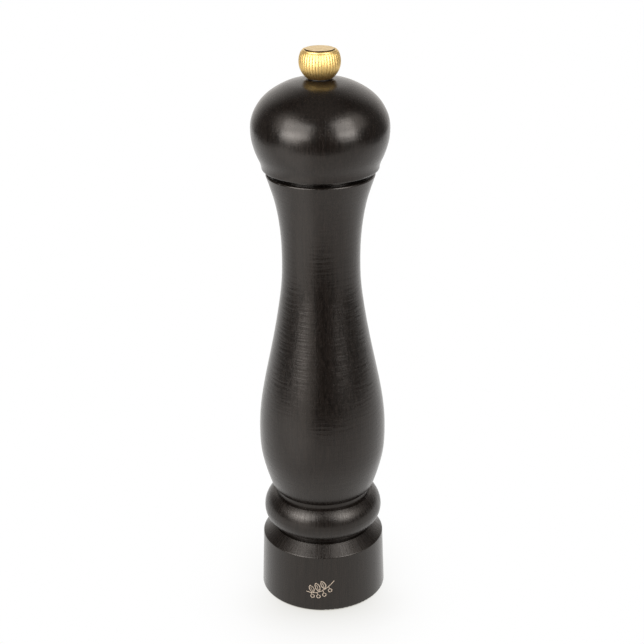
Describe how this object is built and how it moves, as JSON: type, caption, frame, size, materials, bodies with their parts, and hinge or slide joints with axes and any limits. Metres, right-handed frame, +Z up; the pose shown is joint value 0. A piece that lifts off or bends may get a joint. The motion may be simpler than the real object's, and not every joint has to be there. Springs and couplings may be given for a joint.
{
  "type": "pepper mill",
  "caption": "Turned wooden pepper mill with a rotating head, an inner grinder on a square spindle, and a fluted brass knob that sets the grind.",
  "frame": {"origin": "centre of the foot, on the surface that the mill stands on", "axes": "+Z up along the spindle, towards the knob; +X and +Y across, with the bridge's legs on X"},
  "size_m": [0.0696, 0.0696, 0.3],
  "materials": {
    "dark_wood": "satin",
    "zinc_plate": "satin",
    "screw_steel": "satin",
    "hardened_steel": "satin",
    "washer_steel": "satin",
    "spring_steel": "satin",
    "shaft_aluminium": "satin",
    "bush_nylon": "matte",
    "washer_nylon": "matte",
    "core_plastic": "matte",
    "knob_brass": "polished",
    "cap_brass": "satin"
  },
  "bodies": {
    "mill_body": {"wood_body": "dark_wood", "base_plate": "zinc_plate", "base_screws": "screw_steel", "stator": "hardened_steel", "bridge": "zinc_plate", "bush": "bush_nylon"},
    "turning_washer": {"thrust_washer": "washer_steel", "spring": "spring_steel"},
    "spindle": {"shaft": "shaft_aluminium", "rotor": "hardened_steel", "rotor_washer": "washer_steel"},
    "head": {"wood_head": "dark_wood", "driver_plate": "zinc_plate", "driver_nails": "screw_steel"},
    "knob_washer": {"knob_washer": "washer_nylon"},
    "knob": {"knob_shell": "knob_brass", "knob_core": "core_plastic", "knob_nut": "washer_steel", "knob_cap": "cap_brass"}
  },
  "joints": [
    {"name": "head_turn", "type": "hinge", "parent": "mill_body", "child": "turning_washer", "pos_m": [0, 0, 0.0395], "axis": [0, 0, 1], "continuous": true},
    {"name": "grind_gap", "type": "slide", "parent": "turning_washer", "child": "spindle", "axis": [0, 0, 1], "range_m": [0, 0.0016], "deforming": ["spring"]},
    {"name": "head_lift", "type": "slide", "parent": "turning_washer", "child": "head", "axis": [0, 0, 1], "range_m": [0, 0.09]},
    {"name": "knob_lift", "type": "slide", "parent": "head", "child": "knob_washer", "axis": [0, 0, 1], "range_m": [0, 0.03]},
    {"name": "knob_turn", "type": "hinge", "parent": "knob_washer", "child": "knob", "pos_m": [0, 0, 0.2938], "axis": [0, 0, 1], "range_deg": [-720, 0]}
  ],
  "couplings": [
    {"joint": "knob_turn", "follows": "grind_gap", "rad_per_m": -7854}
  ]
}
